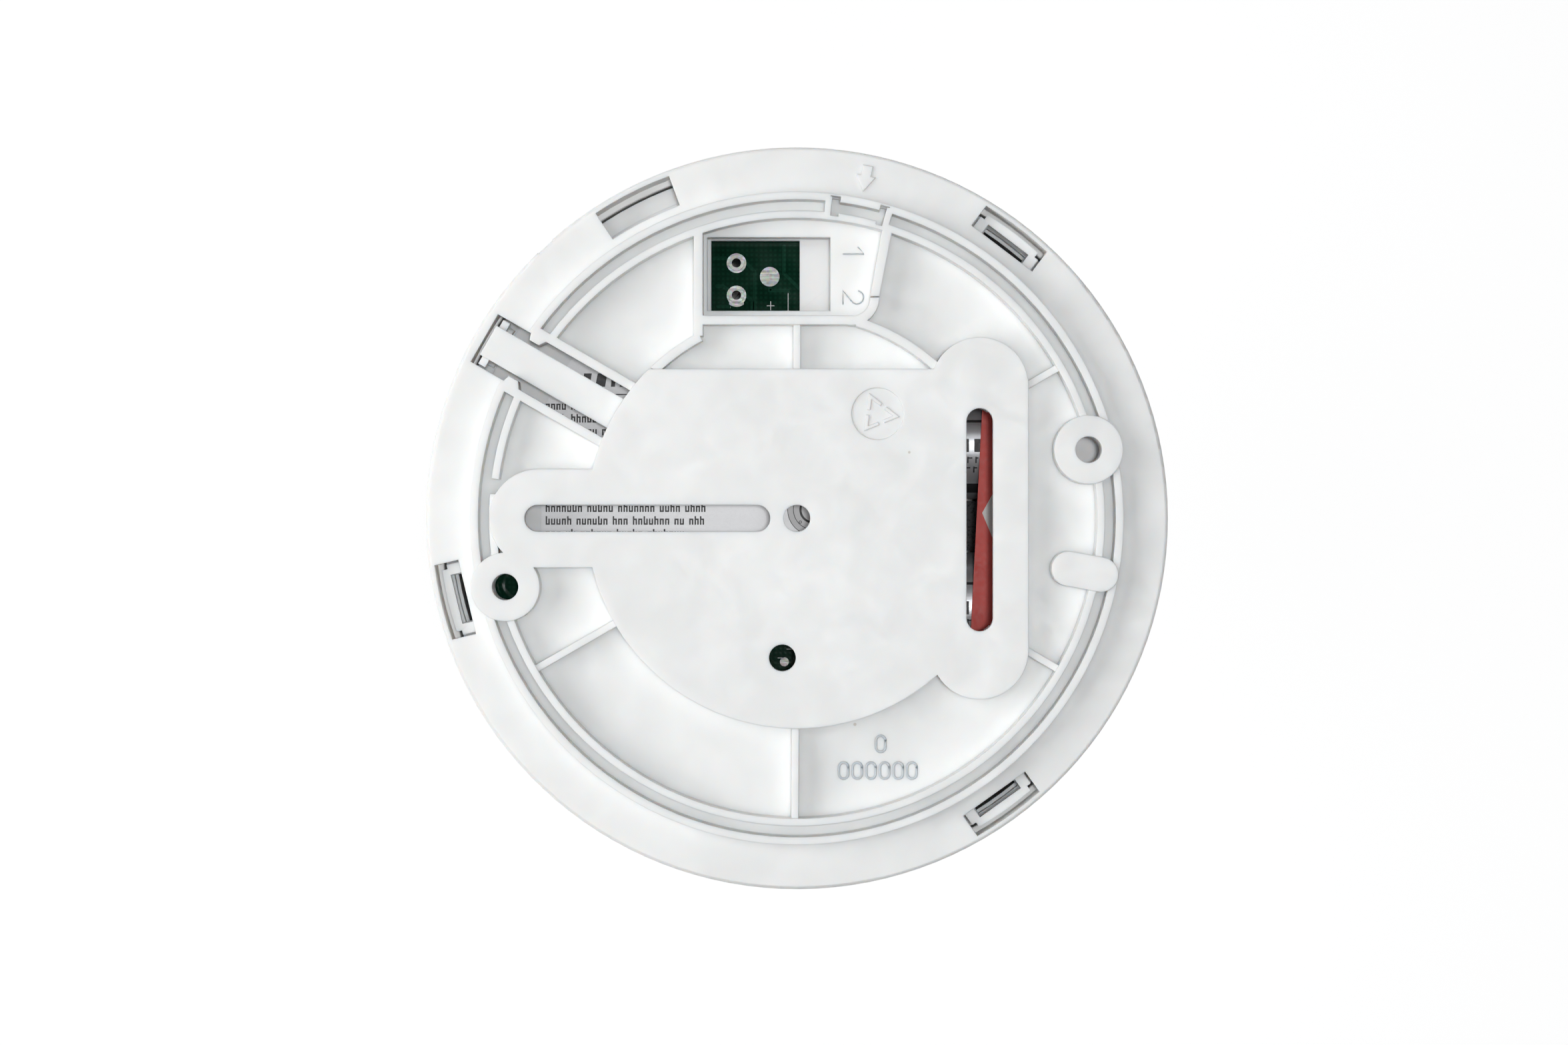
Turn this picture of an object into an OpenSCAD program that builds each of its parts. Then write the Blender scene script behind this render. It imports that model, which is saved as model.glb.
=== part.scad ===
// Ceiling smoke detector with a twist-on mounting plate. The origin is the centre of the
// ceiling plane, +Z points up into the ceiling and the detector hangs below it.

/* [Overall] */
// Outside diameter of the plate rim
rim_d = 115; // [114.6:0.1:116]
// Distance from the ceiling to the front of the cap
depth = 46; // [46:0.5:48]

/* [Mounting plate] */
// Wall thickness of the mouldings
wall_t = 1.4; // [1.3:0.05:1.5]
// Radius of the round platform that lies on the ceiling
platform_r = 32.4; // [32:0.1:32.8]
// Distance from the centre to the platform's flat side
platform_flat = 23; // [22.8:0.1:23.4]
// Width of the two adjustable screw slots
screw_slot_w = 4.1; // [3.9:0.1:4.2]
// Spacing of the two round fixing holes
fixing_spacing = 92.3; // [92:0.1:92.6]
// Radius of the round fixing holes
fixing_r = 2.03; // [1.9:0.01:2.1]
// Depth of the recessed floor below the ceiling
floor_drop = 4.7; // [4.5:0.1:4.9]
// Depth of the rim face below the ceiling
rim_drop = 3.6; // [3.4:0.1:3.8]

/* [Latch] */
// Direction of the flexing latch arm
latch_a = 150; // [149:1:151]
// Half of the slot that the arm lies in
latch_slot_hw = 4.23; // [4.2:0.01:4.3]
// Half of the arm's width
latch_arm_hw = 2.58; // [2.4:0.01:2.6]

/* [Head] */
// Depth of the head's back face below the ceiling
back_drop = 10.4; // [10.4:0.1:10.6]
// Diameter of a battery cell
cell_d = 17; // [16.6:0.1:17]
// Length of a battery cell
cell_len = 34.5; // [33.5:0.5:34.5]
// Radius of the smoke chamber
chamber_r = 18.5; // [17.9:0.1:18.5]
// Radius of the sounder horn
sounder_r = 15; // [14.6:0.1:15]

/* [Test button] */
// Radius of the test button
button_r = 13; // [12.6:0.1:13]

/* [Front] */
// Number of vanes in the smoke inlet
vane_count = 24; // [18:1:30]
// Height of the smoke inlet
inlet_h = 5; // [4.8:0.1:5]

/* [Hidden] */
$fn = 96;
eps = 0.01;
lug_a = [52.8, 193.4, 305.6]; // directions of the three twist lugs
chamber_at = [-23.5, -2];
sounder_at = [3, 28];
stem_at = [0.5, 0]; // the button's stem
spring_feet = [[0, 0], [0, 11.2], [-6.6, 2.4]]; // the sounder's springs, from its centre
rim_r = rim_d / 2;
skirt_in_r = rim_r - wall_t;
wall_top = -0.4;
platform_t = 1.8;
floor_top = -floor_drop;
floor_t = 1.6;
floor_low = floor_top - floor_t;
rim_top = -rim_drop;
rim_low = rim_top - 1.8;
rim_edge_r = 0.5;
window_r = rim_r - 0.9; // outer edge of the openings in the rim
skirt_low = -10;
ring_r = [46.3, 47.45, 49.15, 50.35]; // inner ring wall, then outer ring wall
key_wall_a = [72.6, 83.7]; // the cross walls of the keyway in the trench
key_relief_a = [[73.4, 75], [82.2, 84]]; // and the wider ends beside them
key_relief_r = [46.95, 50.02];
sink = 0.45; // how far a wall or rib runs into what it joins
rib_hw = 0.55;
rib_top = wall_top - 0.6;
lobe_side = [28.15, 20.4]; // centre of the upper end of the right lobe
lobe_side_r = 7.5;
lobe_left = 39.8;
lobe_left_r = 7.6;
left_slot = [-41.95, -4.1]; // the slots' ends, along X and along Y
right_slot = [-17.4, 16.95];
fixing_a = 13.25;
boss_r = 5.3;
lug_z = [-7.4, -6.2]; // underside and top of a lug's foot
lug_r = [51, 54.7, 55.8]; // a foot's inner edge, its shoulders and its tip
lug_hw = 5.6;
lug_slot = [52.6, 54.4];
lug_slot_hw = 3.9;
window_flat = 52.5; // inner edge of a lug window
window_hw = 5.9;
ledge_z = [-9, -7.65]; // the ledges that carry the head
ledge_r = [49.9, 50.7, 51.9]; // a ledge's hanging wall, then its edge
ledge_half_a = 5;
open_window_a = 116.95;
box_left = -15.9;
box_low = 29.85;
cable_window = [-13.9, 32.2, 5.2, 43.6]; // left, low, right, high
mark_at = [12.4, 16.1];
mark_r = 4;
mark_corner_r = 2.9; // from the mark's centre to each bent bar's corner
mark_bar_hw = 0.25;
mark_cut = 0.2;
latch_pin_u = 29.5;
latch_pin_z = -3.05;
latch_pin_r = 0.75;
latch_arm_t = 1.5;
back_z = -back_drop;
back_t = 1.6;
back_low = back_z - back_t;
back_r = 52.7;
step_z = back_z - 1;
label_box = [-40, -18.5, 4.6, 27.5]; // left, low, right, high
label_cut_u = 43; // where the label's corner is cut off, along the latch
head_window = [-13.4, 32.5, 0.45, 43.5];
spy_hole_at = [-2.24, -21.5];
bay = [6, -23.2, 43, 21.2]; // inside of the battery bay: left, low, right, high
bay_wall = 1.2;
cell_y = [11.6, -13.9];
cell_z = back_low - 0.1 - cell_d / 2;
bay_floor = cell_z - 8.6;
bay_low = bay_floor - bay_wall;
cell_x = 7.2;
pcb_top = -14;
pcb_low = pcb_top - 1.6;
pcb_r = 51;
eyelet_at = [[-9.48, 40.19], [-9.48, 35.11]];
solder_pad_at = [-4.25, 38.06];
screw_at = [[-38, 22], [-30, -36], [10, 38]];
chip_at = [-8, -30];
led_at = [0, -24];
capacitor_at = [-14, 31];
coil_at = [-27, 31];
optic_z = -21.5;
chamber_floor = pcb_low - 1.4;
chamber_wall_low = -26;
chamber_low = -37.6;
fin_count = 14;
emitter_a = 200;
receiver_a = 65;
front_z = -depth;
cover_r = rim_r - 0.3;
cover_t = 1.5;
cover_low = -32.4;
cover_edge_r = 10;
cover_edge_z = cover_low + 8;
inlet_in_r = 44.6;
cap_top = cover_low - inlet_h;
dome_r = 260;
cap_edge_r = 4.5;
cap_edge_x = 46.5;
dome_z = front_z + dome_r;
cap_edge_z = dome_z - sqrt(pow(dome_r - cap_edge_r, 2) - pow(cap_edge_x, 2));
dome_touch_x = cap_edge_x * dome_r / (dome_r - cap_edge_r);
horn_top = bay_low - 0.8;
horn_low = horn_top - 7.6;
sounder_z = horn_top - 4.4;
switch_h = 3.5;
plunger_r = 1.7;
plunger_z = pcb_low - switch_h - 0.9;
stem_r = 1.6;
stem_gap = 0.55; // free travel before the stem meets the plunger
seat_low = bay_low;
button_inner_z = front_z + 2;
spring_r = 3;
spring_wire_r = 0.3;
spring_turns = 6;

white = [0.93, 0.93, 0.92];
black = [0.12, 0.12, 0.13];
metal = [0.75, 0.76, 0.78];
copper = [0.8, 0.5, 0.3];

// A bar with round ends, from p to q
module stadium(p, q, r) {
    d = q - p;
    translate(p) circle(r);
    translate(q) circle(r);
    translate(p) rotate(atan2(d[1], d[0])) translate([0, -r]) square([norm(d), 2 * r]);
}

module slab(low, high) {
    translate([0, 0, low]) linear_extrude(high - low) children();
}

module ring(r0, r1, low, high) {
    rotate_extrude() translate([r0, low]) square([r1 - r0, high - low]);
}

module ring_piece(r0, r1, low, high, a0, a1) {
    rotate([0, 0, a0]) rotate_extrude(angle = a1 - a0)
        translate([r0, low]) square([r1 - r0, high - low]);
}

module box(x0, y0, z0, x1, y1, z1) {
    translate([x0, y0, z0]) cube([x1 - x0, y1 - y0, z1 - z0]);
}

module at_angle(a) {
    rotate([0, 0, a]) children();
}

module platform_2d(inset = 0) {
    difference() {
        circle(platform_r - inset);
        translate([-40, platform_flat - inset]) square([80, 40]);
    }
    stadium([-lobe_left, 0], [0, 0], lobe_left_r - inset);
    stadium([lobe_side[0], -lobe_side[1]], lobe_side, lobe_side_r - inset);
}

// Everything below the platform: floor, ring walls, trench, ribs and rim
module plate_base() {
    slab(floor_low, floor_top) difference() {
        circle(ring_r[0] + 0.6);
        platform_2d(wall_t);
    }
    difference() {
        rotate_extrude() trench_profile();
        for (a = key_relief_a) ring_piece(key_relief_r[0], key_relief_r[1], floor_top, 1, a[0], a[1]);
    }
    rotate_extrude() rim_profile();
    for (a = [[47, 73], [118, 134]])
        ring_piece(platform_r - wall_t, platform_r, floor_low + sink, wall_top, a[0], a[1]);
    for (a = [30, 210, 269.6, 330])
        at_angle(a) box(platform_r - 1, -rib_hw, floor_low + sink, ring_r[0] + sink, rib_hw,
            rib_top);
    box(-rib_hw, platform_flat - 1, floor_low + sink, rib_hw, box_low + sink, rib_top);
    for (a = key_wall_a)
        ring_piece(ring_r[0] + sink, ring_r[3] - sink, floor_low + sink, wall_top, a, a + 1.2);
    terminal_box();
    latch_walls();
    for (a = lug_a) head_ledge(a - ledge_half_a, a + ledge_half_a);
}

// A ledge on a wall that hangs from the rim's inner side
module head_ledge(a0, a1) {
    ring_piece(ledge_r[0], ledge_r[1], ledge_z[0], rim_low + sink, a0, a1);
    ring_piece(ledge_r[0] + 0.2, ledge_r[2], ledge_z[0], ledge_z[1], a0, a1);
}

module trench_profile() {
    difference() {
        translate([ring_r[0], floor_low]) square([ring_r[3] - ring_r[0], wall_top - floor_low]);
        translate([ring_r[1], floor_top]) square([ring_r[2] - ring_r[1], 20]);
    }
}

module rim_profile() {
    translate([ring_r[3] - 0.5, rim_low])
        square([rim_r - rim_edge_r - ring_r[3] + 0.5, rim_top - rim_low]);
    translate([skirt_in_r, skirt_low]) square([wall_t, rim_top - rim_edge_r - skirt_low]);
    translate([rim_r - rim_edge_r, rim_top - rim_edge_r]) circle(rim_edge_r);
}

module terminal_box() {
    slab(floor_low + sink, wall_top) intersection() {
        circle(ring_r[0] + sink);
        union() {
            translate([box_left, 28.1]) square([wall_t, 20]);
            translate([box_left, box_low]) square([24.6, wall_t]);
            difference() {
                translate([8.4, box_low + 4.2]) circle(4.3);
                translate([8.4, box_low + 4.2]) circle(2.9);
                translate([0, box_low + 4.2]) square([20, 5]);
                translate([3.4, box_low]) square([5, 10]);
            }
            polygon([[11.3, 34.2], [12.7, 34.2], [15.2, 47], [13.6, 47]]);
        }
    }
}

// Walls along both sides of the latch slot, with the guide wings at the trench
module latch_walls() {
    for (side = [0, 1]) at_angle(latch_a) mirror([0, side, 0])
        box(platform_r - 1, latch_slot_hw - sink, floor_low + sink, ring_r[3] - sink,
            latch_slot_hw + wall_t, wall_top);
}

module latch_wings() {
    for (side = [0, 1]) at_angle(latch_a) mirror([0, side, 0])
        slab(floor_low + sink, wall_top)
            polygon([[ring_r[0] + sink, latch_slot_hw + sink], [47.8, 3.2], [49.4, 3.2],
                [ring_r[3] - sink, latch_slot_hw + sink]]);
}

module platform_shell() {
    slab(-platform_t, 0) platform_2d();
    difference() {
        slab(floor_low, -platform_t) difference() {
            platform_2d();
            platform_2d(wall_t);
        }
        at_angle(latch_a) box(platform_r - 4, -2.95, floor_low - 1, platform_r + 1, 2.95,
            -platform_t - eps);
    }
    for (side = [0, 1]) at_angle(latch_a) mirror([0, side, 0])
        difference() {
            box(latch_pin_u - 1.5, 3, latch_pin_z - 1.6, latch_pin_u + 1.5, 4.6, -platform_t + 0.2);
            translate([latch_pin_u, 2, latch_pin_z]) rotate([-90, 0, 0])
                cylinder(r = latch_pin_r + 0.05, h = 4);
        }
}

module plate_cuts() {
    slab(-7, 1) stadium([left_slot[0] + screw_slot_w / 2, 0], [left_slot[1] - screw_slot_w / 2, 0],
        screw_slot_w / 2);
    slab(-7, 1) stadium([lobe_side[0], right_slot[0] + screw_slot_w / 2],
        [lobe_side[0], right_slot[1] - screw_slot_w / 2], screw_slot_w / 2);
    slab(-7, 1) circle(2.05);
    slab(-7, 1) translate(spy_hole_at) circle(2.06);
    slab(-7, 1) translate([cable_window[0], cable_window[1]])
        square([cable_window[2] - cable_window[0], cable_window[3] - cable_window[1]]);
    for (a = [fixing_a, fixing_a + 180]) at_angle(a)
        translate([fixing_spacing / 2, 0, -11]) cylinder(r = fixing_r, h = 12);
    for (a = lug_a) at_angle(a) slab(skirt_low - 1, 0) intersection() {
        circle(window_r);
        translate([window_flat, -window_hw]) square([8, 2 * window_hw]);
    }
    ring_piece(51.8, window_r, skirt_low - 1, 0, open_window_a - 6.45, open_window_a + 6.45);
    ring_piece(rim_r - 0.3, rim_r + 1, rim_top - 2, 0, 131.3, 134.3);
    translate([mark_at[0], mark_at[1], 0]) difference() {
        translate([0, 0, -mark_cut]) cylinder(r = mark_r, h = 1);
        for (a = [112, 232, 352]) at_angle(a) slab(-1, 2) mark_corner();
    }
}

// One bent bar of the plain triangle that stands in the round mark
module mark_corner() {
    tip = 2 * mark_bar_hw; // two arms at 60 degrees
    end = [mark_corner_r - 1.82, 1.05];
    across = [mark_bar_hw / 2, mark_bar_hw * 0.866];
    polygon([[mark_corner_r + tip, 0], end + across, end - across, [mark_corner_r - tip, 0],
        [end[0] - across[0], across[1] - end[1]], [end[0] + across[0], -across[1] - end[1]]]);
}

module mounting_plate() {
    color(white) difference() {
        union() {
            difference() {
                plate_base();
                at_angle(latch_a) box(platform_r - wall_t - 1, -latch_slot_hw, -12, 55.9,
                    latch_slot_hw, 1);
                ring_piece(ring_r[0] - 0.2, ring_r[1] + 0.2, floor_top, 1, 172.6, 175.4);
            }
            latch_wings();
            platform_shell();
            for (a = [fixing_a, fixing_a + 180]) at_angle(a) fixing_boss();
            at_angle(349.5) slab(floor_low + sink, 0) stadium([42.6, 0], [47.6, 0], 2.67);
            arrow_mark();
        }
        plate_cuts();
    }
}

// The boss ends above the lugs' feet
module fixing_boss() {
    slab(rim_low - 0.5, 0) translate([fixing_spacing / 2, 0]) circle(boss_r);
}

// A raised arrow on the rim that points inwards
module arrow_mark() {
    at_angle(78.6) slab(rim_top - 0.2, rim_top + 0.3) {
        polygon([[51.6, 0], [54.1, -1.5], [54.1, 1.5]]);
        translate([54, -0.77]) square([1.7, 1.54]);
    }
}

module latch_arm() {
    top = latch_pin_z + latch_arm_t / 2;
    color(white) at_angle(latch_a) {
        box(latch_pin_u, -latch_arm_hw, top - latch_arm_t, 55.1, latch_arm_hw, top);
        translate([latch_pin_u, -4.4, latch_pin_z]) rotate([-90, 0, 0])
            cylinder(r = latch_pin_r, h = 8.8);
        box(53.5, -3.9, top - 2.8, 54.7, 3.9, top - 1);
        box(52.9, -1.8, back_z - 0.2, 54.7, 1.8, top - 1);
    }
}

module rear_case() {
    color(white) difference() {
        union() {
            slab(back_low, back_z) circle(back_r);
            ring(back_r - 1, 55.4, step_z - 1.5, step_z);
            ring(53.9, 55.4, -20, step_z - 1);
            box(bay[0] - bay_wall, bay[1] - bay_wall, bay_low, bay[2] + bay_wall,
                bay[3] + bay_wall, back_low + eps);
            for (p = screw_at) translate([p[0], p[1], pcb_top]) cylinder(r = 2.6, h = 2.4);
            spring_seat();
            for (a = lug_a) at_angle(a) twist_lug();
            // stop beside the latch tooth, and the low ridge that the tooth clicks over
            ring_piece(53, 55, step_z - 0.2, -8.9, latch_a - 3.6, latch_a - 2.3);
            ring_piece(53, 55, step_z - 0.2, back_z - 0.4, latch_a + 2.3, latch_a + 3.6);
        }
        box(bay[0], bay[1], bay_floor, bay[2], bay[3], 0);
        box(head_window[0], head_window[1], back_low - 1, head_window[2], head_window[3], 0);
        slab(back_low - 1, 0) translate(spy_hole_at) circle(2.4);
        at_angle(fixing_a + 180) translate([fixing_spacing / 2, 0, back_low - 1])
            cylinder(r = 2.4, h = 4);
        for (p = screw_at) translate([p[0], p[1], pcb_top - 1]) cylinder(r = 1.05, h = 2.6);
        for (a = lug_a) ring_piece(52.75, lug_slot[1], -13.5, step_z + 0.5, a - 4, a + 4);
        translate([stem_at[0], stem_at[1], bay_low - 1]) cylinder(r = stem_r + 0.5, h = 4);
    }
    color(white) box(12, -2, bay_floor - eps, 38, -0.4, bay_floor + 1.5);
}

module spring_seat() {
    box(-3.2, -4, seat_low, bay[0] - bay_wall + eps, 4, seat_low + 1.3);
}

// A foot on two legs that hangs on the plate's ledge. The foot has a slot between its legs.
module twist_lug() {
    for (side = [0, 1]) mirror([0, side, 0])
        box(52.4, lug_slot_hw, step_z - 0.5, lug_r[1], lug_hw, lug_z[0] + sink);
    slab(lug_z[0], lug_z[1]) difference() {
        union() {
            translate([lug_r[0], -lug_hw]) square([lug_r[1] - lug_r[0], 2 * lug_hw]);
            intersection() {
                circle(lug_r[2]);
                translate([lug_r[1] - 0.1, -4.9]) square([2, 9.8]);
            }
        }
        translate([lug_slot[0], -lug_slot_hw])
            square([lug_slot[1] - lug_slot[0], 2 * lug_slot_hw]);
    }
}

module rating_label() {
    color([0.97, 0.97, 0.96]) slab(back_z, back_z + 0.15) difference() {
        translate([label_box[0], label_box[1]])
            square([label_box[2] - label_box[0], label_box[3] - label_box[1]]);
        at_angle(latch_a) translate([label_cut_u, -30]) square(60);
    }
}

module main_pcb() {
    color([0.03, 0.22, 0.14]) difference() {
        slab(pcb_low, pcb_top) difference() {
            circle(pcb_r);
            translate([bay[0] - bay_wall - 0.5, bay[1] - bay_wall - 0.5])
                square([60, bay[3] - bay[1] + 2 * bay_wall + 1]);
        }
        for (p = screw_at) translate([p[0], p[1], pcb_low - 1]) cylinder(r = 1.3, h = 4);
        for (p = eyelet_at) translate([p[0], p[1], pcb_low - 1]) cylinder(r = 1.05, h = 4);
    }
}

module terminal_eyelets() {
    color(metal) for (i = [0, 1]) translate([eyelet_at[i][0], eyelet_at[i][1], 0]) {
        ring(0.73, 1.54, pcb_top, pcb_top + 0.5);
        ring(0.73, 1.2, pcb_top, pcb_top + 1.1);
        ring(0.73, 1.0, pcb_low - 0.4, pcb_top + 0.1);
        if (i == 1) slab(pcb_top, pcb_top + 0.35) intersection() {
            circle(1.8);
            translate([-1.15, -2]) square([2.3, 1]);
        }
    }
}

module test_pads() {
    color(metal) {
        translate([solder_pad_at[0], solder_pad_at[1], pcb_top]) cylinder(r = 1.54, h = 0.25);
        translate([spy_hole_at[0] + 0.3, spy_hole_at[1] - 1.1, pcb_top])
            cylinder(r = 0.7, h = 0.3);
    }
}

// A round cell that lies along X, its cap towards +X
module cell(y) {
    can = cell_len - 1;
    translate([cell_x, y, cell_z]) rotate([0, 90, 0]) {
        cylinder(r = cell_d / 2, h = can);
        cylinder(r = 3.2, h = cell_len);
    }
}

module cell_positive_up() {
    color([0.62, 0.63, 0.66]) cell(cell_y[0]);
}

module cell_positive_down() {
    color([0.62, 0.63, 0.66]) translate([2 * cell_x + cell_len, 2 * cell_y[1], 0])
        rotate([0, 0, 180]) cell(cell_y[1]);
}

// Welded strip that joins the two cells at their left ends
module cell_link() {
    color(metal) box(cell_x - 0.6, cell_y[1] - 3, cell_z - 3, cell_x - 0.1, cell_y[0] + 3,
        cell_z + 3);
}

module cell_output_tabs() {
    x = cell_x + cell_len + 0.1;
    color(metal) for (y = cell_y) {
        box(x, y - 3, cell_z - 3, x + 0.4, y + 3, back_low - 1);
    }
}

module cell_strap() {
    color([0.68, 0.2, 0.17]) slab(back_low + 0.02, back_low + 0.2)
        polygon([[29.3, 20.9], [27.05, -22.9], [40, -22.9], [40, 20.9]]);
}

module cell_foam_pad() {
    color(black) box(10, -5.1, bay_floor + 1.6, 40, 2.8, cell_z - 1.5);
}

module controller_chip() {
    color(black) translate([chip_at[0], chip_at[1], pcb_low - 0.6])
        cube([7, 7, 1.2], center = true);
    color(metal) for (a = [0 : 90 : 270], i = [-3 : 3])
        translate([chip_at[0], chip_at[1], pcb_low - 0.15]) rotate([0, 0, a])
            translate([3.9, i * 0.8, 0]) cube([0.9, 0.35, 0.3], center = true);
}

module reservoir_capacitor() {
    color([0.2, 0.22, 0.3]) translate([capacitor_at[0], capacitor_at[1], pcb_low - 7.5])
        cylinder(r = 3.2, h = 7.5);
}

module driver_coil() {
    color(copper) translate([coil_at[0], coil_at[1], 0]) {
        ring(0, 4, pcb_low - 0.9, pcb_low);
        ring(0, 4, pcb_low - 6.2, pcb_low - 5.3);
        ring(0, 3.3, pcb_low - 5.4, pcb_low - 0.8);
    }
}

module small_components() {
    color(black) {
        for (p = [[-36, -26], [-33, -26], [-18, -33], [-18, -37], [-20, 40], [-34, 28], [8, -30],
                [11, -32], [14, -34], [-26, 42]])
            box(p[0], p[1], pcb_low - 0.7, p[0] + 1.6, p[1] + 0.9, pcb_low);
        for (p = [[-10, 25], [2, -38], [-12, -40], [-10, 45]])
            box(p[0], p[1], pcb_low - 1.3, p[0] + 3, p[1] + 2.4, pcb_low);
    }
}

module indicator_led() {
    color([0.85, 0.8, 0.6]) box(led_at[0] - 1.6, led_at[1] - 0.8, pcb_low - 0.9,
        led_at[0] + 1.6, led_at[1] + 0.8, pcb_low);
}

module light_pipe() {
    tip = dome_z - sqrt(dome_r * dome_r - led_at[1] * led_at[1]) - 0.25;
    color([0.85, 0.88, 0.9]) translate([led_at[0], led_at[1], 0]) {
        ring(0, 1.5, tip, pcb_low - 1.1);
        ring(0, 2.6, tip + 2.2, tip + 3);
    }
}

module pcb_screws() {
    color(metal) for (p = screw_at) translate([p[0], p[1], 0]) difference() {
        union() {
            ring(0, 2.2, pcb_low - 1.4, pcb_low);
            ring(0, 1.0, pcb_low - 0.5, pcb_top + 1.4);
        }
        for (a = [0, 90]) rotate([0, 0, a]) translate([0, 0, pcb_low - 1.2])
            cube([2.6, 0.5, 0.8], center = true);
    }
}

// The piece's own place: on the chamber's centre, turned so that X points outwards
module in_chamber(a) {
    translate([chamber_at[0], chamber_at[1], 0]) rotate([0, 0, a]) children();
}

module chamber_base() {
    color(black) difference() {
        union() {
            in_chamber(0) {
                ring(0, chamber_r, chamber_floor, pcb_low);
                ring(chamber_r - 1.4, chamber_r, chamber_wall_low, chamber_floor + eps);
            }
            for (a = [emitter_a, receiver_a]) in_chamber(a)
                box(8.2, -4.2, chamber_wall_low, chamber_r - 0.8, 4.2, chamber_floor + eps);
        }
        for (a = [emitter_a, receiver_a]) in_chamber(a) {
            translate([0, 0, optic_z]) rotate([0, 90, 0]) cylinder(r = 2.6, h = chamber_r - 2);
            box(14.4, -1.9, optic_z, chamber_r - 2, 1.9, pcb_low + 1);
        }
    }
}

// A round lamp body with a domed front that points at the middle, and two legs up to the board
module optic(a) {
    in_chamber(a) {
        translate([10.6, 0, optic_z]) {
            rotate([0, 90, 0]) cylinder(r = 2.5, h = 5.2);
            sphere(r = 2.5);
        }
        for (y = [-1.27, 1.27]) {
            translate([15.6, y, optic_z]) cylinder(r = 0.25, h = pcb_low - optic_z);
        }
    }
}

module infrared_emitter() {
    color([0.35, 0.4, 0.6]) optic(emitter_a);
}

module light_receiver() {
    color([0.1, 0.1, 0.16]) optic(receiver_a);
}

// Tinned cover over the receiver's joints, on the board's upper side
module receiver_shield() {
    color(metal) in_chamber(receiver_a) difference() {
        box(11, -4.5, pcb_top, 19, 4.5, pcb_top + 1.5);
        box(11.3, -4.2, pcb_top - 1, 18.7, 4.2, pcb_top + 1.2);
    }
}

module chamber_cap() {
    color(black) {
        in_chamber(0) ring(0, chamber_r, chamber_low, chamber_low + 1.3);
        for (i = [0 : fin_count - 1]) in_chamber(i * 360 / fin_count) {
            translate([15.2, 0, chamber_low + 1.2]) rotate([0, 0, 38])
                translate([-2.6, -0.5, 0]) cube([5.2, 1, chamber_wall_low - chamber_low - 1.5]);
            translate([15.2, 0, chamber_low + 1.2]) rotate([0, 0, -42])
                translate([-3.6, -0.5, 0]) cube([3.8, 1, chamber_wall_low - chamber_low - 1.5]);
        }
    }
}

module chamber_gauze() {
    color([0.3, 0.3, 0.32]) in_chamber(0)
        ring(chamber_r + 0.4, chamber_r + 0.7, chamber_low, chamber_wall_low + 0.6);
}

module at_sounder() {
    translate([sounder_at[0], sounder_at[1], 0]) children();
}

module sounder_horn() {
    color(white) at_sounder() difference() {
        union() {
            ring(sounder_r - 1.2, sounder_r, horn_low, horn_top);
            ring(0, sounder_r, horn_top - 1.2, horn_top);
            ring(12.2, sounder_r, sounder_z - 1.5, sounder_z);
            ring(5, sounder_r, horn_low, horn_low + 1);
        }
        for (p = spring_feet) translate([p[0], p[1], horn_top - 3]) cylinder(r = 2.2, h = 4);
    }
}

module sounder_plate() {
    color([0.8, 0.65, 0.3]) at_sounder() ring(0, 13.5, sounder_z, sounder_z + 0.3);
}

module sounder_ceramic() {
    color([0.9, 0.9, 0.85]) at_sounder() ring(0, 9.5, sounder_z + 0.3, sounder_z + 0.5);
}

// Coil springs that carry the drive from the board to the sounder
module sounder_springs() {
    color(metal) at_sounder() for (p = spring_feet) translate([p[0], p[1], 0])
        ring(1.1, 1.6, sounder_z + (norm(p) > 9.5 ? 0.3 : 0.5), pcb_low);
}

module at_stem() {
    translate([stem_at[0], stem_at[1], 0]) children();
}

module switch_body() {
    color(black) at_stem() difference() {
        box(-3, -3, pcb_low - switch_h, 3, 3, pcb_low);
        translate([0, 0, pcb_low - switch_h - 1]) cylinder(r = plunger_r + 0.1, h = 2.6);
    }
}

module switch_plunger() {
    color([0.8, 0.3, 0.2]) at_stem() translate([0, 0, plunger_z])
        cylinder(r = plunger_r, h = 1.9);
}

module dome(lift = 0) {
    translate([0, 0, dome_z - lift]) sphere(r = dome_r, $fn = 400);
}

module test_button() {
    color(white) {
        intersection() {
            translate([0, 0, front_z - 1]) cylinder(r = button_r, h = 3);
            dome(0.5);
        }
        ring(button_r - 1.4, button_r, button_inner_z - 0.1, button_inner_z + 3.2);
        ring(button_r - 1.4, button_r + 1.4, button_inner_z + 2.2, button_inner_z + 3.2);
        at_stem() ring(0, stem_r, button_inner_z - 0.1, plunger_z - stem_gap);
    }
}

// The springs' path: a point, and the wire's ring around it
function coil_point(i, per_turn, turns, r, low, high) =
    let (t = i / (per_turn * turns), a = 360 * i / per_turn)
    [r * cos(a), r * sin(a), low + (high - low) * t];

module coil(turns, per_turn, r, wire_r, low, high) {
    sides = 6;
    n = turns * per_turn;
    points = [for (i = [0 : n], k = [0 : sides - 1])
        let (c = coil_point(i, per_turn, turns, r, low, high), a = 360 * i / per_turn,
            b = 360 * k / sides, out = wire_r * cos(b))
        [c[0] + out * cos(a), c[1] + out * sin(a), c[2] + wire_r * sin(b)]];
    faces = concat(
        [[for (k = [0 : sides - 1]) k]],
        [for (i = [0 : n - 1], k = [0 : sides - 1])
            let (m = (k + 1) % sides)
            [i * sides + k, (i + 1) * sides + k, (i + 1) * sides + m, i * sides + m]],
        [[for (k = [sides - 1 : -1 : 0]) n * sides + k]]);
    polyhedron(points, faces);
}

module button_spring() {
    color(metal) at_stem()
        coil(spring_turns, 12, spring_r, spring_wire_r, button_inner_z + spring_wire_r + 0.05,
            seat_low - spring_wire_r - 0.05);
}

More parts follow.
